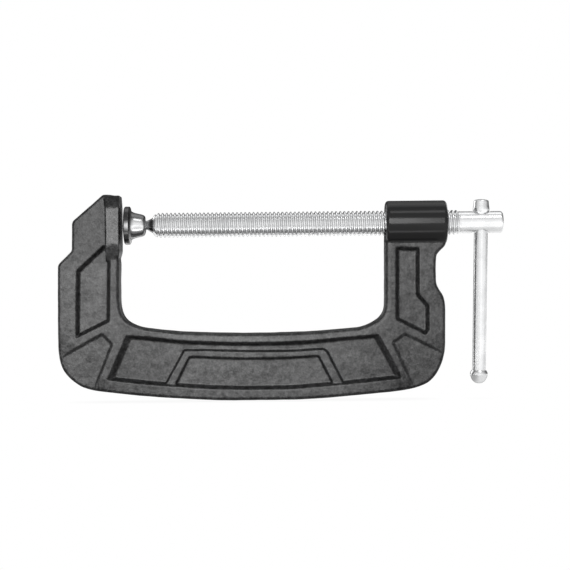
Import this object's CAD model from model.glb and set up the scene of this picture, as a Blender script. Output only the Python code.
"""A 5-inch G-clamp: cast frame, threaded screw with a ball tip and swivel pad, sliding tommy bar.

Metres in the scene, millimetres in the shape functions. The origin is the centre of the fixed
anvil's face, +X runs along the screw, +Z points away from the spine. The camera stands at -Y, so
"front" is -Y, "left" is low X and "right" is high X.
"""
import math
from collections import Counter

import bmesh
import bpy
import numpy as np
from mathutils import Matrix, Vector


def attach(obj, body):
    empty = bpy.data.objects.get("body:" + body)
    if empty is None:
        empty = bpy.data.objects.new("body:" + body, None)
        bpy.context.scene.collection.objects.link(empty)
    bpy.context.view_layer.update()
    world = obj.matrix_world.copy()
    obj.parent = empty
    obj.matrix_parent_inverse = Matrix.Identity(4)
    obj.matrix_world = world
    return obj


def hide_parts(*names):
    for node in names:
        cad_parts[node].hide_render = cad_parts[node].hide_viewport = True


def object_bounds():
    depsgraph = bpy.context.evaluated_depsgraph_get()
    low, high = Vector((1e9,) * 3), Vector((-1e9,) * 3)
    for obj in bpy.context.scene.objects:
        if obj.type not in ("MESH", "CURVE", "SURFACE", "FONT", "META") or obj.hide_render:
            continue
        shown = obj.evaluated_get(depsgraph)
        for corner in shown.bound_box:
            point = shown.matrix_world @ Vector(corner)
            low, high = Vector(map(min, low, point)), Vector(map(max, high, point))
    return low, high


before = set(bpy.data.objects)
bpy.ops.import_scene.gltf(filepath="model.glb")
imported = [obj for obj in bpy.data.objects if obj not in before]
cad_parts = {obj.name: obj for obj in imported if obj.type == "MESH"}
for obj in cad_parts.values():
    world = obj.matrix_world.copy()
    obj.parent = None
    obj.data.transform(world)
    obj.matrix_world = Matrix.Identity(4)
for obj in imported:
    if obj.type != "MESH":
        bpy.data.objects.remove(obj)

cad_lo, cad_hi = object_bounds()
MM = 0.001

# ------------------------------------------------------------------ frame sizes, millimetres
HALF_T = 6.5                          # half the thickness of the rims, along Y
POCKET_DEPTH, POCKET_RUN = 2.9, 1.7   # sunk panels, and the width of their sloping walls
SPINE_END_RUN = 3.0                   # the spine panel's ends slope more gently
BORDER_HEIGHT, BORDER_RUN = 1.5, 0.7  # raised border in the spine panel
CORNER_DEPTH, CORNER_RUN = 1.1, 1.3   # shallow corner panels
CORNER_FALL = 12.0                    # length over which the rims come down to a corner
BOSS_R, BOSS_X0, BOSS_X1, BOSS_ROUND = 12.1, 144.0, 177.25, 1.9
EDGE_ROUND = 1.65                     # round between the sides and the faces of the casting
DRAFT = 0.035
PARTING_HEIGHT, PARTING_WIDTH = 0.13, 0.42   # line left by the mould, at Y = 0

# anvil block: its sides taper in below TAPER_Z and lean in above LEAN_Z
ANVIL_HALF_W, ANVIL_TOP, ANVIL_BOTTOM, ANVIL_BACK = 9.2, 16.2, -19.4, -7.7
ANVIL_TAPER_Z, ANVIL_TAPER_RUN, ANVIL_LEAN_Z = -13.7, 5.7, 9.6
ANVIL_ROUND = 0.75

# threaded bore: radius at the groove, thread height, and the countersinks' radius at each end
BORE_R, BORE_THREAD, SINK_R = 7.07, 0.85, 7.55

# ------------------------------------------------------------------ screw, pad and bar sizes
PITCH = 2.25
MAJOR_R, THREAD_DEPTH = 6.75, 1.0
THREAD_X0 = 17.7
HELIX_X0 = THREAD_X0 - 2 * PITCH
RUNOUT_X, RUNOUT_RUN = 181.9, 3.3     # the thread fades into the plain head
HEAD_X0, HEAD_X1, HEAD_R, HEAD_ROUND = 186.2, 207.9, 5.95, 1.5
HOLE_R, HOLE_EDGE = 4.15, 0.3
SINK_Z, SINK_SLOPE = 4.7, 0.633       # the cross hole opens out beyond SINK_Z
FACE_RINGS = (4.0, 2.0)               # radii of the rings in the screw's flat nose
NOSE_BLEND = 0.12
# columns: x, largest radius there
NOSE = [
    (THREAD_X0, 4.75), (17.76, 4.95), (18.0, 5.25), (18.45, 5.7), (18.95, 6.08), (19.6, 6.43),
    (20.6, 6.72), (21.9, 7.0), (24, 7.2), (230, 7.2),
]

BALL_X, BALL_R, NECK_R, TIP_X1 = 8.8, 3.8, 2.5, 17.66
PAD_FACE_X, PAD_DISC, PAD_R = 2.05, 3.15, 10.4
SOCKET_R, MOUTH_R, PAD_X1 = 4.15, 3.45, 13.3

BAR_X, BAR_LEAN, BAR_R = 196.2, math.radians(1.38), 3.7
BAR_CHAMFER, BAR_END_GAP = 0.5, 0.3   # the gap is left at the bottom of each cap's bore
CAP_BORE_R, CAP_TOP, CAP_BOTTOM, CAP_BORE = 3.78, 4.75, -80.7, 3.6
# columns: radius, distance from the cap's open face
CAP_UPPER = [
    (3.98, 0), (4.2, 0.5), (4.38, 1.2), (4.45, 2.2), (4.4, 3.3), (4.2, 4.6), (4.1, 5.6),
    (4.0, 6.6), (3.6, 7.15), (2.6, 7.5), (1.3, 7.68), (0, 7.7),
]
CAP_LOWER = [
    (3.98, 0), (4.3, 0.5), (4.62, 1.1), (4.8, 1.8), (4.74, 2.8), (4.42, 3.7), (4.0, 4.6),
    (3.3, 5.7), (2.3, 6.55), (1.2, 7.0), (0, 7.1),
]

# ------------------------------------------------------------------ frame lines, columns: x, z
OUTLINE = [
    (-9.13, 17.03), (-17.54, 9.71), (-25.66, 2.83), (-26.28, 1.2), (-26.42, -12.95),
    (-26.81, -13.82), (-33.52, -20.39), (-34.07, -21.58), (-34.31, -40.09), (-34.37, -61.86),
    (-34.32, -67.31), (-33.82, -71.67), (-33.09, -74.94), (-31.81, -78.22), (-30.1, -80.74),
    (-27.94, -82.94), (-25.78, -84.81), (-22, -87.45), (-16.57, -89.25), (-11.14, -90.1),
    (-0.27, -91.4), (10.61, -92.65), (21.49, -93.58), (32.37, -94.33), (43.25, -94.98),
    (51, -95.34), (58, -95.55), (93, -95.55), (103.12, -95.15), (114.02, -94.5),
    (124.91, -93.6), (135.81, -92.7), (146.71, -91.7), (152.16, -91.1), (157.61, -90.2),
    (161.98, -88.9), (166.1, -87.05), (168.6, -84.85), (170.6, -82.4), (172.5, -79.25),
    (173.95, -75.94), (174.85, -72.68), (175.53, -69.42), (175.78, -66.16), (175.97, -45.48),
    (175.65, -42.1), (174.7, -39.2), (172.85, -36.5), (171.65, -34.3), (171.05, -32.36),
    (170.95, -25.83), (171.15, -20.39), (171.5, -17.8), (172.2, -16.7), (173.2, -15.6),
    (174.3, -14.5), (175.65, -13.4), (176.3, -12.3), (176.75, -10.6), (176.9, -8.44),
    (177, -5.17), (177, 0.28), (144.9, 0.66), (143.35, -5.88), (142.99, -41.89),
    (142.84, -45.16), (142.27, -47.56), (141.27, -49.51), (139.61, -51.57), (136.32, -53.83),
    (132.48, -55.65), (128.65, -56.59), (119.91, -57.32), (108.99, -58.08), (98.07, -58.68),
    (81.69, -59.01), (65.32, -59.01), (48.96, -58.62), (32.59, -57.91), (21.69, -56.82),
    (16.24, -56.11), (10.79, -55.18), (6.44, -53.5), (3.35, -51.5), (1.7, -49.6),
    (0.6, -47.4), (-0.05, -44.81), (-0.42, -40.44), (-0.45, -29), (-0.25, -24),
    (-0.2, -19.7), (-0.92, -17), (-0.92, 10.79), (-1.1, 14.28), (-2, 15.82), (-4.74, 16.73),
]
PANEL_LEFT_LEG = [
    (-8.63, -10.35), (-23.7, -24.27), (-24.5, -61.04), (-6.02, -52.03), (-5.32, -14.39),
]
PANEL_CORNER_LEFT = [
    (-36.6, -72.37), (-9.98, -58.05), (-4.2, -64.17), (-12.41, -84.64), (-15.97, -94.34),
    (-39.7, -95.6),
]
PANEL_SPINE = [
    (2.77, -59.69), (13.58, -60.45), (32.49, -62.7), (56.82, -63.81), (76.3, -64.11),
    (91.44, -63.84), (103.35, -63.31), (118.51, -61.94), (139.51, -60.43), (145.25, -70.55),
    (152.15, -84.25), (120.42, -87.28), (103.09, -88.62), (91.19, -89.42), (69.55, -89.58),
    (47.92, -88.98), (23.59, -87.06), (7.38, -85.49), (-7.75, -83.61),
]
PANEL_CORNER_RIGHT = [
    (153.37, -59.48), (146.39, -64.82), (150.84, -74.39), (155.81, -86.07), (159.28, -96.11),
    (183.12, -95.6), (181.15, -72.86),
]
PANEL_RIGHT_LEG = [
    (149.19, -13.14), (161.95, -13.48), (161.7, -38.69), (166.93, -45.02), (166.91, -58.0),
    (165.15, -61.01), (148.79, -52.41),
]
BORDER_OUTER = [
    (22.73, -87.6), (33.85, -67.58), (48.13, -67.73), (69.76, -68.48), (91.4, -68.59),
    (109.47, -67.59), (111.73, -69.02), (121.39, -88.2),
]
BORDER_INNER = [
    (28.2, -89.6), (37.16, -71.94), (65.38, -73.31), (91.35, -73.03), (106.61, -72.21),
    (115.6, -89.9),
]
# where the rims start to come down to each corner: point on the line, unit normal away from it
FALL_LEFT = ((-26.25, -63.38), (0.751, 0.66))
FALL_RIGHT = ((167.34, -65.2), (-0.716, 0.698))
# the spine panel's gentle ends: point on the line, unit normal into the panel
SPINE_ENDS = [
    (PANEL_SPINE[0], (0.9154, -0.4026)),
    (PANEL_SPINE[8], (-0.870, -0.4935)),
    (PANEL_SPINE[9], (-0.8931, -0.4498)),
]


# ------------------------------------------------------------------ lines
def corner_at(points, i):
    """The two arms of a corner, their lengths and the turn in radians."""
    back = points[i - 1] - points[i]
    on = points[(i + 1) % len(points)] - points[i]
    back_len, on_len = np.linalg.norm(back), np.linalg.norm(on)
    turn = math.acos(max(-1, min(1, -float(back @ on) / (back_len * on_len))))
    return back, on, back_len, on_len, turn


def cut_corner(corner, start, end, steps):
    """A quadratic curve from start to end that heads for the corner."""
    curve = []
    for k in range(steps + 1):
        w = k / steps
        curve.append((1 - w) ** 2 * start + 2 * w * (1 - w) * corner + w * w * end)
    return curve


def rounded(points, sharp=1.0, soft=6.0):
    """The closed line with curved corners: tight at real corners, long at shallow ones."""
    points = np.array(points, float)
    out = []
    for i, here in enumerate(points):
        back, on, back_len, on_len, turn = corner_at(points, i)
        reach = sharp if math.degrees(turn) > 24 else soft
        cut = min(0.46 * back_len, 0.46 * on_len, reach)
        out += cut_corner(here, here + back / back_len * cut, here + on / on_len * cut, steps=5)
    return np.array(out)


def eased(profile, radius):
    """The open profile with each inner corner rounded, apart from very shallow ones."""
    points = np.array(profile, float)
    out = [tuple(points[0])]
    for i in range(1, len(points) - 1):
        here = points[i]
        back, on, back_len, on_len, turn = corner_at(points, i)
        if turn < math.radians(14):
            out.append(tuple(here))
            continue
        cut = min(radius * math.tan(turn / 2), 0.45 * back_len, 0.45 * on_len)
        start, end = here + back / back_len * cut, here + on / on_len * cut
        out += [tuple(q) for q in cut_corner(here, start, end, steps=4)]
    out.append(tuple(points[-1]))
    return out


def flowing(points, steps=5):
    """A Catmull-Rom curve through the points."""
    p = [np.array(q, float) for q in points]
    out = [tuple(p[0])]
    for i in range(len(p) - 1):
        a, b, c, d = p[max(i - 1, 0)], p[i], p[i + 1], p[min(i + 2, len(p) - 1)]
        for k in range(1, steps + 1):
            t = k / steps
            out.append(tuple(0.5 * (2 * b + (c - a) * t + (2 * a - 5 * b + 4 * c - d) * t * t
                                    + (3 * b - a - 3 * c + d) * t ** 3)))
    return out


# ------------------------------------------------------------------ plane fields
def signed(points, x, z):
    """Signed distance to a closed line, negative inside."""
    nearest = np.full(x.shape, 1e9)
    inside = np.zeros(x.shape, bool)
    for (ax, az), (bx, bz) in zip(points, np.roll(points, -1, axis=0)):
        ex, ez = bx - ax, bz - az
        length2 = ex * ex + ez * ez
        if length2 < 1e-12:
            continue
        wx, wz = x - ax, z - az
        t = np.clip((wx * ex + wz * ez) / length2, 0, 1)
        dx, dz = wx - ex * t, wz - ez * t
        np.minimum(nearest, dx * dx + dz * dz, out=nearest)
        if az != bz:
            inside ^= ((az > z) != (bz > z)) & (x < (bx - ax) * (z - az) / (bz - az) + ax)
    distance = np.sqrt(nearest)
    return np.where(inside, -distance, distance)


def blur(values, sigma):
    """Gaussian blur, sigma in cells."""
    reach = int(math.ceil(3 * sigma))
    kernel = np.exp(-0.5 * (np.arange(-reach, reach + 1) / sigma) ** 2)
    kernel /= kernel.sum()
    for axis in (0, 1):
        pad = [(0, 0), (0, 0)]
        pad[axis] = (reach, reach)
        padded = np.pad(values, pad, mode="edge")
        n = values.shape[axis]
        values = sum(kernel[i] * (padded[i:i + n] if axis == 0 else padded[:, i:i + n])
                     for i in range(2 * reach + 1))
    return values


def smooth(t):
    t = np.clip(t, 0, 1)
    return t * t * (3 - 2 * t)


STEP = 0.2
GRID_X = np.arange(-38.0, 181.0, STEP)
GRID_Z = np.arange(-99.0, 21.0, STEP)


def panel_relief(gx, gz):
    """How far the face is sunk below the rims at each place of the grid."""
    relief = np.zeros_like(gx)

    def inside(points, reach=0.9):
        return -signed(rounded(points, sharp=reach, soft=4.0), gx, gz)

    def beyond(point, normal):
        return (gx - point[0]) * normal[0] + (gz - point[1]) * normal[1]

    for points in (PANEL_LEFT_LEG, PANEL_RIGHT_LEG):
        wall = np.clip(inside(points) / POCKET_RUN, 0, 1)
        relief = np.maximum(relief, POCKET_DEPTH * wall)
    for points, line in ((PANEL_CORNER_LEFT, FALL_LEFT), (PANEL_CORNER_RIGHT, FALL_RIGHT)):
        wall = np.clip(inside(points) / CORNER_RUN, 0, 1)
        relief = np.maximum(relief, CORNER_DEPTH * wall)
        fall = (0.6 - beyond(*line)) / (CORNER_FALL + 1.2)
        # half straight, half smooth
        relief = np.maximum(relief, CORNER_DEPTH * 0.5 * (np.clip(fall, 0, 1) + smooth(fall)))
    spine = POCKET_DEPTH * np.clip(inside(PANEL_SPINE) / POCKET_RUN, 0, 1)
    for line in SPINE_ENDS:
        spine = np.minimum(spine, POCKET_DEPTH * np.clip(beyond(*line) / SPINE_END_RUN, 0, 1))
    border = np.minimum(inside(BORDER_OUTER, 0.6), -inside(BORDER_INNER, 0.6))
    border = BORDER_HEIGHT * np.clip(border / BORDER_RUN, 0, 1)
    spine = np.minimum(spine, POCKET_DEPTH - border)
    return np.maximum(relief, spine)


def plane_fields():
    """Distance to the outline, and half the thickness, over the X-Z grid."""
    gx, gz = np.meshgrid(GRID_X, GRID_Z, indexing="ij")
    outline = blur(signed(rounded(OUTLINE), gx, gz), 1.6)
    half = HALF_T - panel_relief(gx, gz)
    depth_in = -outline

    def rim_fall(where, depth, width, power):
        return where * depth * np.clip(1 - depth_in / width, 0, 1) ** power

    # the rims round the throat fall away towards it: spine, right leg, left leg
    spine = (smooth((gx - 8) / 40) * (1 - 0.7 * smooth((gx - 118) / 22))
             * (gz > -75) * (gx < 150) * (gz < -48))
    half -= rim_fall(spine, depth=0.9, width=5.5, power=1.5)
    right = (gx > 138) * (gx < 152) * smooth((-6 - gz) / 6) * (gz > -56)
    half -= rim_fall(right, depth=0.75, width=3.2, power=1.6)
    left = (gx > -6) * (gx < 3) * smooth((-20 - gz) / 4) * (gz > -50)
    half -= rim_fall(left, depth=0.55, width=2.6, power=1.5)
    # the jaw thins towards its top, except behind the anvil block
    lean = ANVIL_HALF_W - (gz - ANVIL_LEAN_Z) * 0.485
    lean = np.maximum(lean, 1.0) + np.clip((-8.3 - gx) / 0.9, 0, 1) * 8
    half = np.minimum(half, lean)
    return outline, blur(half, 1.5)


OUTLINE_FIELD, HALF_FIELD = plane_fields()


def sample(field, x, z):
    """The grid field at any place, bilinear."""
    u = np.clip((x - GRID_X[0]) / STEP, 0, len(GRID_X) - 1.001)
    v = np.clip((z - GRID_Z[0]) / STEP, 0, len(GRID_Z) - 1.001)
    i, j = u.astype(np.int32), v.astype(np.int32)
    a, b = u - i, v - j
    return ((field[i, j] * (1 - a) + field[i + 1, j] * a) * (1 - b)
            + (field[i, j + 1] * (1 - a) + field[i + 1, j + 1] * a) * b)


# ------------------------------------------------------------------ solid fields
def round_max(a, b, r):
    """Intersection of two solids with a rounded edge."""
    arc = np.sqrt(np.maximum(a + r, 0) ** 2 + np.maximum(b + r, 0) ** 2) - r
    return np.where((a > -r) & (b > -r), arc, np.maximum(a, b))


def round_min(a, b, r):
    """Union of two solids with a fillet."""
    arc = r - np.sqrt(np.maximum(r - a, 0) ** 2 + np.maximum(r - b, 0) ** 2)
    return np.where((a < r) & (b < r), arc, np.minimum(a, b))


def make_waves():
    """Fixed random waves: (wave vector, phase, height)."""
    random = np.random.RandomState(7)
    waves = []
    for count, length, height in ((7, 17.0, 0.010), (9, 8.0, 0.008), (12, 4.2, 0.0055)):
        for _ in range(count):
            way = random.normal(size=3)
            way /= np.linalg.norm(way)
            number = 2 * math.pi / (length * random.uniform(0.75, 1.3))
            waves.append((way * number, random.uniform(0, 2 * math.pi), height))
    return waves


WAVES = make_waves()


def unevenness(x, y, z):
    """The gentle unevenness of a cast surface."""
    total = 0
    for k, phase, height in WAVES:
        total = total + height * np.sin(k[0] * x + k[1] * y + k[2] * z + phase)
    return total


def from_helix(x, angle):
    """Distance along X to the nearest turn of the thread's helix."""
    turns = (x - HELIX_X0) / PITCH - angle
    return np.abs(turns - np.round(turns)) * PITCH


def bore_radius(x, y, z):
    """The threaded bore's radius at the angle and place of a point."""
    off = from_helix(x, np.arctan2(z, y) / (2 * math.pi))
    return BORE_R - BORE_THREAD * smooth((off - 0.42) / 0.5)


def anvil_field(x, ay, z):
    side = ay - ANVIL_HALF_W
    # (5.7, 3.6) and (6.6, 3.2) are the normals of the tapering and leaning sides, over their lengths
    sides = round_max(side, (side * 5.7 - (z - ANVIL_TAPER_Z) * 3.6) / 6.742, 2.2)
    planes = [
        sides,
        (side * 6.6 + (z - ANVIL_LEAN_Z) * 3.2) / 7.335,
        z - ANVIL_TOP,
        ANVIL_BOTTOM - z,
        (x + 0.9 * smooth((ANVIL_TAPER_Z - z) / ANVIL_TAPER_RUN)) * 0.97,
        (ANVIL_BACK - x - np.clip(z - ANVIL_LEAN_Z, 0, 7) * 0.167) * 0.985,
    ]
    flat = np.maximum.reduce(planes)
    curved = np.sqrt(sum(np.maximum(p + ANVIL_ROUND, 0) ** 2 for p in planes)) - ANVIL_ROUND
    return np.where(flat > -ANVIL_ROUND, curved, flat)


def frame_field(x, y, z, fine=True):
    """The whole casting, negative inside; fine adds the unevenness of its surface."""
    ay = np.abs(y)
    side = (sample(OUTLINE_FIELD, x, z) + DRAFT * ay
            - PARTING_HEIGHT * np.exp(-(y / PARTING_WIDTH) ** 2))
    face = (ay - sample(HALF_FIELD, x, z)) * 0.86
    d = round_max(side, face, EDGE_ROUND)
    d = round_min(d, anvil_field(x, ay, z), 0.45)
    # boss
    rho = np.hypot(y, z)
    end = np.abs(x - (BOSS_X0 + BOSS_X1) / 2) - (BOSS_X1 - BOSS_X0) / 2
    boss = round_max(end, rho - BOSS_R, BOSS_ROUND)
    d = round_min(d, boss, 0.25 + 0.7 * smooth((-end - 0.3) / 3.5))
    if fine:
        # the boss is nearly even
        d = d - unevenness(x, y, z) * np.where(end < 0.5, np.clip((-z - 9) / 4, 0.12, 1), 1)
    # bore, with its countersinks; most blocks of points are far from it
    near = end < 2
    if np.any(near):
        bore = (bore_radius(x, y, z) - rho) * 0.8
        sink = np.where(end > -4, ((SINK_R + end * 0.75) - rho) * 0.8, -99)
        d = np.where(near, np.maximum(np.maximum(d, bore), sink), d)
    return d


def head_field(x, y, z):
    """The plain head of the screw with its cross hole; the end at low x is open."""
    body = round_max(x - HEAD_X1, np.hypot(y, z) - HEAD_R, HEAD_ROUND)
    c, s = math.cos(BAR_LEAN), math.sin(BAR_LEAN)
    across, along = (x - BAR_X) * c - z * s, (x - BAR_X) * s + z * c
    flare = SINK_SLOPE * np.maximum(np.abs(along) - SINK_Z, 0)
    return round_max(body, HOLE_R + flare - np.hypot(across, y), HOLE_EDGE)


def screw_radius(x, theta):
    off = from_helix(x, theta / (2 * math.pi))
    radius = MAJOR_R - THREAD_DEPTH * smooth((off - 0.24) / 0.62)
    radius = radius - 0.03 * (off / (PITCH / 2)) ** 2
    nose = np.interp(x, [a for a, _ in NOSE], [b for _, b in NOSE])
    # smooth minimum of thread and nose
    radius = -NOSE_BLEND * np.log(np.exp(-radius / NOSE_BLEND) + np.exp(-nose / NOSE_BLEND))
    t = smooth((x - RUNOUT_X) / RUNOUT_RUN)
    return radius * (1 - t) + HEAD_R * t


def screw_field(x, y, z):
    return np.hypot(y, z) - screw_radius(x, np.arctan2(z, y))


def gradient(field, points, eps):
    out = np.empty_like(points)
    for k in range(3):
        a, b = points.copy(), points.copy()
        a[:, k] += eps
        b[:, k] -= eps
        out[:, k] = (field(*a.T) - field(*b.T)) / (2 * eps)
    return out


def settle(field, points, steps, eps, reach):
    """Moves points onto the surface field = 0 along its gradient."""
    for _ in range(steps):
        g = gradient(field, points, eps)
        move = g * (field(*points.T) / np.maximum((g * g).sum(1), 0.05))[:, None]
        size = np.linalg.norm(move, axis=1, keepdims=True)
        points = points - move * np.minimum(1, reach / np.maximum(size, 1e-9))
    return points


def normals_of(field, points, eps):
    g = gradient(field, points, eps)
    return g / np.maximum(np.linalg.norm(g, axis=1, keepdims=True), 1e-9)


def nets(field, low, high, cell):
    """Surface nets: one point in each cell the surface crosses, four joined round each edge."""
    n = [int(math.ceil((b - a) / cell)) + 1 for a, b in zip(low, high)]
    axes = [a + cell * np.arange(k) for a, k in zip(low, n)]
    values = np.empty(n, np.float32)
    for i0 in range(0, n[0], 48):        # in blocks, to save memory
        x, y, z = np.meshgrid(axes[0][i0:i0 + 48], axes[1], axes[2], indexing="ij")
        values[i0:i0 + 48] = field(x, y, z)
    negative = values < 0
    total = np.zeros([k - 1 for k in n] + [3], np.float32)
    count = np.zeros([k - 1 for k in n], np.int8)
    crossed = []
    for axis in range(3):
        a = [slice(None)] * 3
        b = [slice(None)] * 3
        a[axis], b[axis] = slice(0, -1), slice(1, None)
        va, vb = values[tuple(a)], values[tuple(b)]
        index = np.argwhere(negative[tuple(a)] != negative[tuple(b)])
        fa, fb = va[tuple(index.T)], vb[tuple(index.T)]
        o0, o1 = [k for k in range(3) if k != axis]
        place = index.astype(np.float32)
        place[:, axis] += fa / (fa - fb)
        for da in (0, 1):
            for db in (0, 1):
                c = index.copy()
                c[:, o0] -= da
                c[:, o1] -= db
                ok = ((c[:, o0] >= 0) & (c[:, o1] >= 0)
                      & (c[:, o0] < n[o0] - 1) & (c[:, o1] < n[o1] - 1))
                into = tuple(c[ok].T)
                for k in range(3):
                    np.add.at(total[..., k], into, place[ok, k])
                np.add.at(count, into, 1)
        crossed.append((axis, o0, o1, index, fa < 0))
    cells = count > 0
    number = np.full(count.shape, -1, np.int64)
    number[cells] = np.arange(cells.sum())
    points = total[cells] / count[cells][:, None] * cell + np.array(low, np.float32)
    quads = []
    for axis, o0, o1, index, leaves in crossed:
        ok = ((index[:, o0] > 0) & (index[:, o1] > 0)
              & (index[:, o0] < n[o0] - 1) & (index[:, o1] < n[o1] - 1))
        corners = []
        for d0, d1 in ((1, 1), (0, 1), (0, 0), (1, 0)):
            c = index[ok]
            c[:, o0] -= d0
            c[:, o1] -= d1
            corners.append(number[tuple(c.T)])
        quad = np.stack(corners, 1)
        if axis == 1:
            quad = quad[:, ::-1]
        quads.append(np.where(leaves[ok][:, None], quad, quad[:, ::-1]))
    return points.astype(float), np.concatenate(quads)


# ------------------------------------------------------------------ meshes
def shade_smooth(mesh):
    mesh.polygons.foreach_set("use_smooth", np.ones(len(mesh.polygons), bool))


def set_normals(mesh, normals):
    mesh.normals_split_custom_set_from_vertices([tuple(n) for n in normals])


def mesh_from_lists(name, points_mm, faces):
    """A mesh whose faces may differ in size."""
    mesh = bpy.data.meshes.new(name)
    points = [tuple(p) for p in np.asarray(points_mm) * MM]
    mesh.from_pydata(points, [], [tuple(int(i) for i in f) for f in faces])
    mesh.validate()
    return mesh


def mesh_from_quads(name, points_mm, quads):
    """A large mesh of quads only, filled quickly."""
    quads = np.asarray(quads, np.int32)
    mesh = bpy.data.meshes.new(name)
    mesh.vertices.add(len(points_mm))
    mesh.vertices.foreach_set("co", (points_mm * MM).astype(np.float32).ravel())
    mesh.loops.add(quads.size)
    mesh.loops.foreach_set("vertex_index", quads.ravel())
    mesh.polygons.add(len(quads))
    mesh.polygons.foreach_set("loop_start", np.arange(0, quads.size, 4, dtype=np.int32))
    mesh.update(calc_edges=True)
    mesh.validate()
    shade_smooth(mesh)
    return mesh


def link_object(name, data):
    obj = bpy.data.objects.new(name, data)
    bpy.context.scene.collection.objects.link(obj)
    return obj


def positions(mesh):
    """Vertex places in millimetres."""
    co = np.empty(len(mesh.vertices) * 3, np.float32)
    mesh.vertices.foreach_get("co", co)
    return co.reshape(-1, 3).astype(float) / MM


def bake_modifiers(obj):
    """Replaces the object's mesh with the result of its modifiers."""
    depsgraph = bpy.context.evaluated_depsgraph_get()
    mesh = bpy.data.meshes.new_from_object(obj.evaluated_get(depsgraph))
    obj.modifiers.clear()
    old = obj.data
    obj.data = mesh
    mesh.name = obj.name
    bpy.data.meshes.remove(old)


def mend(mesh):
    """Closes the few slits a collapse can leave."""
    bm = bmesh.new()
    bm.from_mesh(mesh)
    bmesh.ops.remove_doubles(bm, verts=bm.verts, dist=1e-6)
    bmesh.ops.dissolve_degenerate(bm, dist=1e-7, edges=bm.edges)
    extra = [f for e in bm.edges if len(e.link_faces) > 2 for f in e.link_faces]
    if extra:
        bmesh.ops.delete(bm, geom=list(set(extra)), context="FACES")
    open_edges = [e for e in bm.edges if len(e.link_faces) == 1]
    if open_edges:
        bmesh.ops.holes_fill(bm, edges=open_edges, sides=0)
    bmesh.ops.delete(bm, geom=[v for v in bm.verts if not v.link_faces], context="VERTS")
    bmesh.ops.triangulate(bm, faces=[f for f in bm.faces if len(f.verts) > 3])
    bmesh.ops.recalc_face_normals(bm, faces=bm.faces)
    bm.to_mesh(mesh)
    bm.free()


def lathe(name, profile, segments, on_bar=False):
    """A profile of (radius, along) turned into a closed surface; both ends lie on the axis.

    It turns round the X axis, or round the leaning axis of the tommy bar.
    """
    points, rings = [], []
    for radius, along in profile:
        count = 1 if radius < 1e-6 else segments
        rings.append(list(range(len(points), len(points) + count)))
        for k in range(count):
            t = 2 * math.pi * k / segments
            u, v = (0, 0) if count == 1 else (radius * math.cos(t), radius * math.sin(t))
            points.append((u, v, along) if on_bar else (along, u, v))
    faces = []
    for a, b in zip(rings, rings[1:]):
        for k in range(segments):
            k1 = (k + 1) % segments
            if len(a) == 1:
                faces.append((a[0], b[k1], b[k]))
            elif len(b) == 1:
                faces.append((a[k], a[k1], b[0]))
            else:
                faces.append((a[k], a[k1], b[k1], b[k]))
    p = np.array(points, float)
    # a negative volume means the faces look inwards
    volume = sum(np.dot(p[f[0]], np.cross(p[f[m]], p[f[m + 1]]))
                 for f in faces for m in range(1, len(f) - 1))
    if volume < 0:
        faces = [f[::-1] for f in faces]
    if on_bar:
        place = np.array(Matrix.Translation((BAR_X, 0, 0)) @ Matrix.Rotation(BAR_LEAN, 4, "Y"))
        p = p @ place[:3, :3].T + place[:3, 3]
    mesh = mesh_from_lists(name, p, faces)
    mesh.update()
    shade_smooth(mesh)
    return link_object(name, mesh)


# ------------------------------------------------------------------ frame
FRAME_LOW, FRAME_HIGH = (-36.5, -12.3, -97.6), (180.0, 12.3, 19.5)
MAX_TRIANGLES = 190000


def build_frame():
    cell = 0.5
    points, quads = nets(lambda x, y, z: frame_field(x, y, z, fine=False),
                         FRAME_LOW, FRAME_HIGH, cell)
    points = settle(frame_field, points, steps=2, eps=0.12, reach=cell)
    obj = link_object("cast_frame", mesh_from_quads("cast_frame", points, quads))
    triangles = len(quads) * 2
    if triangles > MAX_TRIANGLES:
        thin = obj.modifiers.new("thin", "DECIMATE")
        thin.ratio = MAX_TRIANGLES / triangles
        thin.use_collapse_triangulate = True
        bake_modifiers(obj)
        mend(obj.data)
    mesh = obj.data
    points = settle(frame_field, positions(mesh), steps=1, eps=0.12, reach=0.2)
    mesh.vertices.foreach_set("co", (points * MM).astype(np.float32).ravel())
    mesh.update()
    shade_smooth(mesh)      # again, for the faces made by mending
    set_normals(mesh, normals_of(frame_field, points, eps=0.14))
    return obj


# ------------------------------------------------------------------ screw
SCREW_SEGMENTS, ROWS_PER_PITCH = 64, 12


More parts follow.
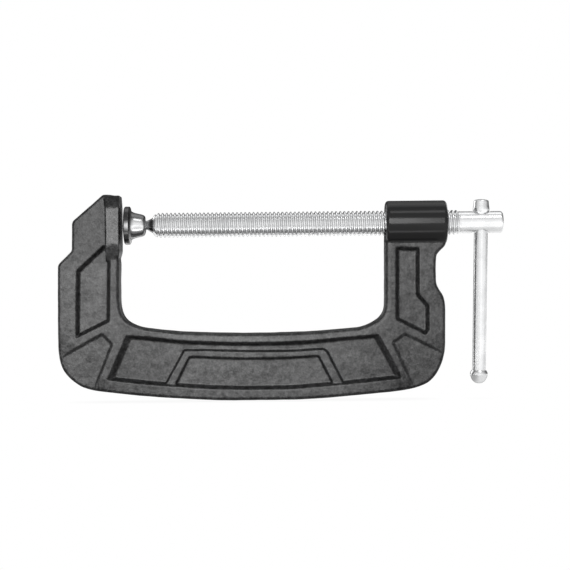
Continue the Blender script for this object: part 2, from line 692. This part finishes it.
def build_thread():
    """Points and faces from the flat nose to HEAD_X0, and the point numbers of the open ring.

    The rows follow the helix, so each column starts a little further on than the one before.
    """
    seg, per = SCREW_SEGMENTS, ROWS_PER_PITCH
    x0, x1 = THREAD_X0, HEAD_X0
    step = PITCH / per
    rows = int(math.ceil((x1 - x0) / step)) + per + 2
    cols = np.arange(seg)
    theta = 2 * math.pi * cols / seg

    def ring_at(x, radius):
        return np.stack([np.full(seg, x), radius * np.cos(theta), radius * np.sin(theta)], -1)

    i = np.arange(rows)[:, None]
    x = x0 - PITCH + i * step + PITCH * cols[None, :] / seg
    held = np.clip(x, x0, x1)
    radius = screw_radius(held, theta)
    body = np.stack([held, radius * np.cos(theta), radius * np.sin(theta)], -1).reshape(-1, 3)
    # the end rings are points of their own, and stand in for all rows beyond an end
    ends = np.stack([ring_at(end, screw_radius(end, theta)) for end in (x0, x1)], 1)
    ring0 = len(body) + 2 * cols
    ring1 = ring0 + 1
    number = i * seg + cols[None, :]
    below, above = x < x0 + 1e-9, x > x1 - 1e-9
    first = np.argmax(~below, axis=0)
    last = rows - 1 - np.argmax(~above[::-1], axis=0)
    for c in range(seg):
        number[:first[c], c] = ring0[c]
        number[last[c] + 1:, c] = ring1[c]

    faces = []
    for c in range(seg):
        c1 = (c + 1) % seg
        # the column after the last one is the first, one pitch further on
        shift = 0 if c1 else per
        here, beside = number[:, c], number[:, c1]
        for k in range(rows - 1):
            b0 = beside[min(k + shift, rows - 1)]
            b1 = beside[min(k + 1 + shift, rows - 1)]
            face = list(dict.fromkeys([here[k], b0, b1, here[k + 1]]))
            if len(face) >= 3:
                faces.append(tuple(face[::-1]))

    # flat nose
    outer = len(body) + 2 * seg + cols
    inner = outer + seg
    centre = len(body) + 4 * seg
    for c in range(seg):
        c1 = (c + 1) % seg
        faces.append((ring0[c], ring0[c1], outer[c1], outer[c]))
        faces.append((outer[c], outer[c1], inner[c1], inner[c]))
        faces.append((inner[c], inner[c1], centre))
    nose = [ring_at(x0, r) for r in FACE_RINGS]
    points = np.concatenate([body, ends.reshape(-1, 3), *nose, [(x0, 0, 0)]])
    return points, faces, ring1


def zip_rings(first, second):
    """Triangles between two rings, each a list of (angle, point number) by rising angle."""
    na, nb = len(first), len(second)
    a = first + [(first[0][0] + 2 * math.pi, first[0][1])]
    b = second + [(second[0][0] + 2 * math.pi, second[0][1])]
    ia = ib = 0
    faces = []
    while ia < na or ib < nb:
        if ib >= nb or (ia < na and a[ia + 1][0] <= b[ib + 1][0]):
            faces.append((a[ia][1], a[ia + 1][1], b[ib][1]))
            ia += 1
        else:
            faces.append((a[ia][1], b[ib + 1][1], b[ib][1]))
            ib += 1
    return faces


def open_ring(points, quads, offset):
    """The open rim of the head's net as a list of (angle, point number)."""
    uses = Counter((min(q[k], q[(k + 1) % 4]), max(q[k], q[(k + 1) % 4]))
                   for q in quads for k in range(4))
    rim = sorted({v for edge, count in uses.items() if count == 1 for v in edge})
    angle = np.arctan2(points[rim, 2], points[rim, 1]) % (2 * math.pi)
    return [(angle[k], rim[k] + offset) for k in np.argsort(angle)]


def build_screw():
    points, faces, ring = build_thread()
    cell = 0.3
    head, quads = nets(head_field, (HEAD_X0 + 0.25, -6.5, -6.5), (HEAD_X1 + 0.6, 6.5, 6.5), cell)
    head = settle(head_field, head, steps=3, eps=0.05, reach=cell)
    offset = len(points)
    thread_ring = [(2 * math.pi * k / len(ring), v) for k, v in enumerate(ring)]
    faces += [tuple(q + offset) for q in quads]
    faces += zip_rings(thread_ring, open_ring(head, quads, offset))
    mesh = mesh_from_lists("lead_screw", np.concatenate([points, head]), faces)

    bm = bmesh.new()
    bm.from_mesh(mesh)
    bmesh.ops.delete(bm, geom=[v for v in bm.verts if not v.link_faces], context="VERTS")
    bmesh.ops.remove_doubles(bm, verts=bm.verts, dist=2e-7)
    bmesh.ops.recalc_face_normals(bm, faces=bm.faces)
    bm.to_mesh(mesh)
    bm.free()
    shade_smooth(mesh)

    p = positions(mesh)
    normals = np.empty_like(p)
    is_head = p[:, 0] > HEAD_X0 + 0.05
    is_nose = (p[:, 0] < THREAD_X0 + 1e-3) & (np.hypot(p[:, 1], p[:, 2]) < 4.5)
    rest = ~is_head & ~is_nose
    normals[is_head] = normals_of(head_field, p[is_head], eps=0.05)
    normals[is_nose] = (-1, 0, 0)
    normals[rest] = normals_of(screw_field, p[rest], eps=0.03)
    set_normals(mesh, normals)
    return link_object("lead_screw", mesh)


# ------------------------------------------------------------------ ball tip, pad, bar
def build_ball():
    profile = [(0.0, BALL_X - BALL_R)]
    end = math.pi - math.asin(NECK_R / BALL_R)
    for i in range(1, 41):
        a = end * i / 40
        profile.append((BALL_R * math.sin(a), BALL_X - BALL_R * math.cos(a)))
    join = profile[-1][1]
    # neck, then the flare against the screw's nose
    profile += [
        (NECK_R - 0.02, join + 0.25), (NECK_R - 0.05, join + 0.7), (NECK_R, 13.6),
        (NECK_R + 0.06, 14.0), (2.78, 14.7), (3.12, 15.5), (3.6, 16.4), (4.05, 17.1),
        (4.3, 17.45), (4.4, TIP_X1 - 0.06), (4.36, TIP_X1), (0.0, TIP_X1),
    ]
    return lathe("ball_tip_turned", profile, 96)


def build_pad():
    back = PAD_FACE_X + PAD_DISC
    disc = [
        (0, PAD_FACE_X), (PAD_R - 0.55, PAD_FACE_X), (PAD_R, PAD_FACE_X + 0.5),
        (PAD_R, back - 0.45), (PAD_R - 0.45, back),
    ]
    bell = [
        (8.9, back + 0.05), (8.35, back + 0.25), (7.9, back + 0.62), (7.52, back + 1.15),
        (7.2, back + 1.75), (6.95, back + 2.45), (6.73, 8.5), (6.52, 9.3), (6.33, 10.15),
        (6.14, 11.0), (5.93, 11.75), (5.68, 12.35), (5.38, 12.8), (5.02, 13.1),
        (4.6, PAD_X1 - 0.05), (4.2, PAD_X1), (3.85, PAD_X1 - 0.02), (3.6, PAD_X1 - 0.15),
        (MOUTH_R, PAD_X1 - 0.45),
    ]
    profile = eased(disc, radius=0.18) + bell
    mouth = math.pi - math.asin(MOUTH_R / SOCKET_R)
    for i in range(30):
        a = mouth * (1 - i / 30)
        profile.append((SOCKET_R * math.sin(a), BALL_X - SOCKET_R * math.cos(a)))
    profile.append((0, BALL_X - SOCKET_R))
    return lathe("pad_turned", profile, 128)


def build_bar():
    low = CAP_BOTTOM - CAP_BORE + BAR_END_GAP
    high = CAP_TOP + CAP_BORE - BAR_END_GAP
    straight = high - low - 2 * BAR_CHAMFER
    steps = 40
    profile = [(0, low), (BAR_R - BAR_CHAMFER, low)]
    for i in range(steps):
        profile.append((BAR_R, low + BAR_CHAMFER + straight * i / steps))
    profile += [(BAR_R, high - BAR_CHAMFER), (BAR_R - BAR_CHAMFER, high), (0, high)]
    return lathe("bar_drawn", profile, 96, on_bar=True)


def build_cap(name, outside, face, way):
    """A domed cap with its open face at the given height; way is +1 for up, -1 for down."""
    bore = [(0, CAP_BORE), (CAP_BORE_R, CAP_BORE), (CAP_BORE_R, 0.08), (CAP_BORE_R + 0.06, 0.0)]
    profile = [(r, face + way * along) for r, along in bore + flowing(outside)]
    return lathe(name, profile, 96, on_bar=True)


# ------------------------------------------------------------------ shader helper
def as_colour(value):
    """A grey from a number or an opaque colour from three; a socket is left as it is."""
    if isinstance(value, (int, float)):
        return (value, value, value, 1)
    return (*value, 1) if isinstance(value, tuple) else value


class Shader:
    """Fills the node tree of a material or a world; most methods return the new node's output."""

    def __init__(self, owner):
        owner.use_nodes = True
        self.tree = owner.node_tree
        self.tree.nodes.clear()

    def node(self, kind, inputs=None, **settings):
        node = self.tree.nodes.new("ShaderNode" + kind)
        for key, value in settings.items():
            setattr(node, key, value)
        for key, value in (inputs or {}).items():
            if isinstance(value, bpy.types.NodeSocket):
                self.tree.links.new(value, node.inputs[key])
            else:
                node.inputs[key].default_value = value
        return node

    def out(self, kind, inputs=None, **settings):
        return self.node(kind, inputs, **settings).outputs[0]

    def object_place(self):
        return self.node("TexCoord").outputs["Object"]

    def xyz(self, vector):
        return self.node("SeparateXYZ", {0: vector}).outputs

    def noise(self, vector, scale, detail, rough):
        inputs = {"Vector": vector, "Scale": scale, "Detail": detail, "Roughness": rough}
        return self.node("TexNoise", inputs).outputs["Fac"]

    def ramp(self, value, stops):
        """Stops are (position, grey or colour)."""
        node = self.node("ValToRGB", {0: value})
        elements = node.color_ramp.elements
        while len(elements) < len(stops):
            elements.new(0.5)
        for element, (position, colour) in zip(elements, stops):
            element.position = position
            element.color = as_colour(colour)
        return node.outputs[0]

    def map_range(self, value, source, target, kind="SMOOTHSTEP"):
        inputs = {"Value": value, "From Min": source[0], "From Max": source[1],
                  "To Min": target[0], "To Max": target[1]}
        return self.out("MapRange", inputs, interpolation_type=kind)

    def math(self, operation, *values):
        return self.out("Math", dict(enumerate(values)), operation=operation)

    def times(self, a, b):
        return self.math("MULTIPLY", a, b)

    def plus(self, a, b):
        return self.math("ADD", a, b)

    def minus(self, a, b):
        return self.math("SUBTRACT", a, b)

    def above(self, a, b):
        return self.math("GREATER_THAN", a, b)

    def below(self, a, b):
        return self.math("LESS_THAN", a, b)

    def mix(self, factor, a, b):
        inputs = {0: factor, 6: as_colour(a), 7: as_colour(b)}
        return self.node("Mix", inputs, data_type="RGBA").outputs[2]

    def mix_shader(self, factor, a, b):
        return self.out("MixShader", {0: factor, 1: a, 2: b})

    def facing(self):
        """0 seen face on, 1 at the outline."""
        return self.node("LayerWeight", {"Blend": 0.5}).outputs["Facing"]

    def bump(self, height, strength, distance):
        return self.out("Bump", {"Height": height, "Strength": strength, "Distance": distance})


# ------------------------------------------------------------------ paint
def paint():
    """Sandy black paint, smooth on the boss."""
    material = bpy.data.materials.new("black_cast_paint")
    s = Shader(material)
    place = s.object_place()
    x, y, z = s.xyz(place)

    # masks, limits in metres
    boss_span = s.times(s.above(x, 0.1430), s.below(x, 0.1785))
    # from z = -12 mm up to -9.8 mm
    boss_height = s.ramp(s.math("MULTIPLY_ADD", z, 100.0, 1.5), [(0.30, 0.0), (0.52, 1.0)])
    on_boss = s.times(boss_span, boss_height)
    # the unused second input of ABSOLUTE is 0
    on_anvil = s.times(s.above(s.math("ABSOLUTE", y, 0.0), 0.0085), s.below(x, 0.01))
    on_lean = s.times(s.times(s.above(z, 0.0098), s.above(x, -0.0084)), s.below(x, 0.002))
    # from z = -27.5 mm up to -12.5 mm
    jaw_height = s.ramp(s.math("MULTIPLY_ADD", z, 20.0, 1.0), [(0.45, 0.0), (0.75, 1.0)])
    on_jaw = s.times(jaw_height, s.below(x, 0.005))

    # textures, fine to broad
    sand = s.noise(place, scale=1000.0, detail=4.0, rough=0.6)
    pits = s.node("TexVoronoi", {"Vector": place, "Scale": 560.0}).outputs["Distance"]
    grain = s.noise(place, scale=420.0, detail=3.0, rough=0.6)
    blotch = s.noise(place, scale=130.0, detail=4.0, rough=0.6)
    broad = s.noise(place, scale=30.0, detail=3.0, rough=0.55)
    speck = s.plus(s.times(grain, 0.5), s.times(sand, 0.5))

    tone = s.ramp(speck, [
        (0.38, (0.003, 0.003, 0.0031)), (0.5, (0.009, 0.009, 0.0092)),
        (0.62, (0.026, 0.0261, 0.0266)),
    ])
    tone = s.mix(on_boss, tone, (0.013, 0.013, 0.0132))

    rough = s.plus(s.ramp(speck, [(0.36, 0.35), (0.64, 0.47)]), s.times(broad, 0.04))
    rough = s.minus(rough, s.times(on_anvil, 0.10))
    rough = s.mix(on_boss, rough, 0.155)

    # the gloss is uneven at every scale
    gloss = s.times(s.ramp(speck, [(0.34, 0.58), (0.5, 1.0), (0.66, 1.42)]),
                    s.ramp(blotch, [(0.3, 0.88), (0.7, 1.12)]))
    gloss = s.times(gloss, s.ramp(broad, [(0.3, 0.88), (0.7, 1.12)]))
    gloss = s.mix(on_boss, gloss, 0.46)
    gloss = s.mix(on_lean, gloss, 0.62)
    # along the frame: position is 0.2 + 4 x
    side = s.ramp(s.math("MULTIPLY_ADD", x, 4.0, 0.2), [
        (0.05, 0.97), (0.14, 0.97), (0.20, 0.90), (0.42, 1.10), (0.60, 1.08), (0.80, 0.82),
    ])
    # the fixed jaw's end is a little duller than its leg, its anvil less so
    jaw = s.times(on_jaw, s.minus(0.20, s.times(on_anvil, 0.11)))
    side = s.times(side, s.minus(1.0, jaw))

    high = s.plus(s.times(sand, 0.5), s.times(pits, 0.35))
    high = s.plus(s.times(grain, 0.8), high)
    high = s.times(high, s.minus(1.0, s.times(on_boss, 0.93)))
    surface = s.out("BsdfPrincipled", {
        "Base Color": tone,
        "Roughness": rough,
        "IOR": 1.45,
        "Specular IOR Level": s.times(s.times(gloss, side), 0.5),
        "Normal": s.bump(high, strength=0.75, distance=0.00013),
    })
    s.node("OutputMaterial", {0: surface})
    return material


# ------------------------------------------------------------------ plating
def scaled(colour, share):
    return tuple(c * share for c in colour)


def dim_outline(s, colour, base, share):
    """Bright plating mirrors less and less towards its outline."""
    edge = s.ramp(s.facing(), [(0.50, 0.0), (0.82, 0.8), (1.0, 1.0)])
    return s.mix(edge, colour, scaled(base, share))


def tint_screw(s, colour, base, x, y, z):
    # the thread's roots are darker; the unused second input of SQRT is 0
    radius = s.math("SQRT", s.plus(s.times(y, y), s.times(z, z)), 0.0)
    root = s.ramp(s.times(radius, 100.0), [(0.585, 1.0), (0.655, 0.0)])
    root = s.times(root, s.below(x, 0.1835))
    colour = s.mix(s.times(root, 0.2), colour, 0.42)
    return dim_outline(s, colour, base, share=0.55)


def tint_pad(s, colour, base, x, y, z):
    # bell and disc rim each darken where they turn away; the disc ends near x = 5.4 mm
    away = s.facing()
    bell = s.ramp(away, [(0.05, 0.90), (0.12, 0.58), (0.20, 0.28), (0.34, 0.12)])
    rim = s.ramp(away, [(0.006, 0.80), (0.020, 0.30), (0.05, 0.02)])
    disc = s.ramp(s.times(x, 100.0), [(0.515, 1.0), (0.560, 0.0)])
    return s.mix(s.mix(disc, bell, rim), scaled(base, 0.06), colour)


def tint_bar(s, colour, base, x, y, z):
    return dim_outline(s, colour, base, share=0.30)


def tint_ball(s, colour, base, x, y, z):
    # the flare behind the neck is dark, from x = 14.4 mm to 16 mm
    return s.mix(s.ramp(s.times(x, 50.0), [(0.72, 0.0), (0.80, 1.0)]), colour,
                 (0.09, 0.09, 0.092))


# fine texture: (stretch of the noise space, noise scale)
RINGS_ROUND_X = ((1.0, 0.02, 0.02), 5200.0)
LINES_ALONG_Z = ((1.0, 1.0, 0.012), 3600.0)


def plated(kind, base, lines, roughness, bump_distance, tint):
    """Bright plating; roughness is (least, most) and tint adds the shades of one kind."""
    material = bpy.data.materials.new("bright_plated_" + kind)
    s = Shader(material)
    place = s.object_place()
    stretch, scale = lines
    stretched = s.out("Mapping", {"Vector": place, "Scale": stretch})
    fine = s.noise(stretched, scale=scale, detail=3.0, rough=0.6)
    smear = s.noise(place, scale=120.0, detail=4.0, rough=0.6)
    broad = s.noise(place, scale=28.0, detail=3.0, rough=0.5)

    colour = s.mix(s.ramp(smear, [(0.45, 0.0), (0.75, 0.55)]), base, scaled(base, 0.80))
    colour = s.mix(s.ramp(broad, [(0.5, 0.0), (0.8, 0.35)]), colour, scaled(base, 0.9))
    colour = tint(s, colour, base, *s.xyz(place))
    least, most = roughness
    rough = s.plus(s.ramp(smear, [(0.3, least), (0.8, most)]), s.times(fine, 0.05))
    high = s.plus(s.times(fine, 0.6), s.times(smear, 0.4))
    surface = s.out("BsdfPrincipled", {
        "Base Color": colour,
        "Metallic": 0.86,
        "Roughness": rough,
        "Normal": s.bump(high, strength=0.5, distance=bump_distance),
    })
    s.node("OutputMaterial", {0: surface})
    return material


# ------------------------------------------------------------------ build
PAINT = paint()
SCREW_PLATE = plated("screw", base=(0.88, 0.885, 0.89), lines=RINGS_ROUND_X,
                     roughness=(0.20, 0.32), bump_distance=0.000015, tint=tint_screw)
PAD_PLATE = plated("pad", base=(0.92, 0.923, 0.928), lines=RINGS_ROUND_X,
                   roughness=(0.15, 0.24), bump_distance=0.000015, tint=tint_pad)
BAR_PLATE = plated("bar", base=(0.89, 0.895, 0.90), lines=LINES_ALONG_Z,
                   roughness=(0.20, 0.32), bump_distance=0.00001, tint=tint_bar)
BALL_PLATE = plated("ball", base=(0.72, 0.725, 0.73), lines=LINES_ALONG_Z,
                    roughness=(0.15, 0.24), bump_distance=0.000015, tint=tint_ball)

# columns: object, body it rides on, CAD node it replaces, material slot, material
PIECES = [
    (build_frame(), "frame", "frame", "frame_paint", PAINT),
    (build_screw(), "screw", "screw", "plated_screw", SCREW_PLATE),
    (build_ball(), "carriage", "ball_tip", "plated_screw", BALL_PLATE),
    (build_pad(), "pad", "swivel_pad", "plated_pad", PAD_PLATE),
    (build_bar(), "handle", "tommy_bar", "plated_bar", BAR_PLATE),
    (build_cap("bar_cap_upper_domed", CAP_UPPER, CAP_TOP, 1),
     "handle", "bar_cap_upper", "plated_bar", BAR_PLATE),
    (build_cap("bar_cap_lower_domed", CAP_LOWER, CAP_BOTTOM, -1),
     "handle", "bar_cap_lower", "plated_bar", BAR_PLATE),
]
for obj, body, node, slot, material in PIECES:
    obj.data.materials.clear()
    obj.data.materials.append(material)
    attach(obj, body)
    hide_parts(node)

# the CAD nodes stay hidden, and carry the same finishes
for _, _, node, _, material in PIECES:
    cad_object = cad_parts[node]
    if cad_object.material_slots:
        cad_object.material_slots[0].material = material


# ------------------------------------------------------------------ floor
def floor_glow(s):
    """The floor's brightness in mirror-like reflections, by place in metres."""
    x, y, _ = s.xyz(s.node("NewGeometry").outputs["Position"])
    # brighter away from the object
    off = s.math("ABSOLUTE", y)
    glow = s.map_range(off, (0.035, 0.15), (0.48, 0.95))
    # a bright band on each side, centred 94 mm from the object's middle plane
    from_band = s.math("ABSOLUTE", s.minus(off, 0.094))
    band = s.map_range(from_band, (0.020, 0.005), (0.0, 3.0))
    # beyond the boss, under the handle, the floor is even: a lift, and a weaker band
    beyond = s.map_range(x, (0.178, 0.198), (0.0, 0.45))
    fade = s.math("MULTIPLY_ADD", beyond, -1.9, 1.0)
    return s.plus(s.plus(glow, s.times(band, fade)), beyond)


def floor_material():
    """White with a faint contact shade to the camera; other rays meet a grey or glowing floor."""
    material = bpy.data.materials.new("pale_floor")
    s = Shader(material)
    path = s.node("LightPath").outputs
    occlusion = s.node("AmbientOcclusion", {"Distance": 0.012}, samples=8).outputs["AO"]
    shade = s.map_range(occlusion, (0.35, 1.0), (0.94, 1.0), kind="LINEAR")
    seen = s.out("Emission", {"Color": shade, "Strength": 1.0})
    matt = s.out("BsdfDiffuse", {"Color": as_colour(0.22)})
    mirrored = s.out("Emission", {"Strength": floor_glow(s)})
    other = s.mix_shader(path["Is Glossy Ray"], matt, mirrored)
    s.node("OutputMaterial", {0: s.mix_shader(path["Is Camera Ray"], other, seen)})
    return material


def build_floor():
    reach = 30.0
    z = cad_lo.z - 0.0004
    corners = [(-reach, -reach, z), (reach, -reach, z), (reach, reach, z), (-reach, reach, z)]
    material = floor_material()
    mesh = bpy.data.meshes.new("floor")
    mesh.from_pydata(corners, [], [(0, 1, 2, 3)])
    mesh.materials.append(material)
    link_object("floor", mesh)


build_floor()

# ------------------------------------------------------------------ lights
PAINTED = bpy.data.collections.new("painted")
PLATED = bpy.data.collections.new("plated")
for obj, _, _, _, material in PIECES:
    (PAINTED if material is PAINT else PLATED).objects.link(obj)


def area(name, at, to, size, radiance, only=None):
    """A soft box of the given radiance, shining on everything or on one group of pieces."""
    light = bpy.data.lights.new(name, "AREA")
    light.shape = "RECTANGLE"
    light.size, light.size_y = size
    light.energy = radiance * math.pi * size[0] * size[1]
    obj = bpy.data.objects.new(name, light)
    obj.location = at
    obj.rotation_euler = (Vector(to) - Vector(at)).to_track_quat("-Z", "Y").to_euler()
    bpy.context.scene.collection.objects.link(obj)
    obj.visible_camera = False
    if only:
        obj.light_linking.receiver_collection = only


MIDDLE = (0.08, 0.0, -0.04)
area("key_front", at=(-0.125, -1.25, 0.10), to=(-0.125, 0, 0.0), size=(0.85, 0.80),
     radiance=11.2, only=PAINTED)
area("key_metal", at=(0.05, -1.25, 0.05), to=(0.05, 0, 0.0), size=(1.6, 1.1),
     radiance=0.34, only=PLATED)
area("fill_back_left", at=(-0.95, 0.95, 0.45), to=MIDDLE, size=(0.8, 0.8), radiance=2.2)
area("fill_back_right", at=(1.1, 0.95, 0.45), to=MIDDLE, size=(0.8, 0.8),
     radiance=2.2, only=PAINTED)
area("top", at=(0.08, 0.30, 1.25), to=(0.08, 0, 0), size=(1.6, 0.7), radiance=0.8)
area("top_front_right", at=(0.46, -0.72, 1.20), to=(0.17, 0, 0), size=(0.62, 0.30),
     radiance=3.6)


# ------------------------------------------------------------------ world
def tent_strength(s):
    """What bright metal mirrors, by direction: bright in front, darker behind, lit overhead."""
    _, y, z = s.xyz(s.node("TexCoord").outputs["Generated"])
    front = s.map_range(y, (0.38, -0.62), (0.13, 1.0))
    # a dim gap high up
    gap = s.ramp(z, [(0.0, 1.0), (0.66, 1.0), (0.80, 0.55), (0.88, 0.55), (0.95, 0.95)])
    # the ceiling reaches back over the object
    over = s.map_range(z, (0.42, 0.80), (0.0, 0.75))
    behind = s.map_range(y, (-0.25, 0.15), (0.0, 1.0), kind="LINEAR")
    return s.math("MAXIMUM", s.times(front, gap), s.times(over, behind))


def build_world():
    """White to the camera, a tent to mirror-like rays, an even fill to the rest."""
    world = bpy.data.worlds.new("studio")
    bpy.context.scene.world = world
    s = Shader(world)
    path = s.node("LightPath").outputs
    seen = s.out("Background", {"Color": as_colour(1.0), "Strength": 1.0})
    fill = s.out("Background", {"Color": (0.97, 0.98, 1, 1), "Strength": 0.36})
    tent = s.out("Background", {"Strength": tent_strength(s)})
    other = s.mix_shader(path["Is Glossy Ray"], fill, tent)
    s.node("OutputWorld", {0: s.mix_shader(path["Is Camera Ray"], other, seen)})


build_world()


# ------------------------------------------------------------------ camera
def build_camera():
    """Looks along +Y, rolled slightly about that axis."""
    data = bpy.data.cameras.new("camera")
    camera = link_object("camera", data)
    data.sensor_width = 36.0
    data.lens = 92.7
    data.clip_start, data.clip_end = 0.01, 100
    place_x, place_y, place_z = 0.08905, -0.8, -0.03317
    roll = 0.0101
    c, s = math.cos(roll), math.sin(roll)
    camera.matrix_world = Matrix((
        (c, s, 0, place_x),
        (0, 0, -1, place_y),
        (-s, c, 0, place_z),
        (0, 0, 0, 1),
    ))
    bpy.context.scene.camera = camera


build_camera()
bpy.context.scene.view_settings.view_transform = "Standard"
bpy.context.scene.view_settings.look = "None"

bpy.context.view_layer.update()
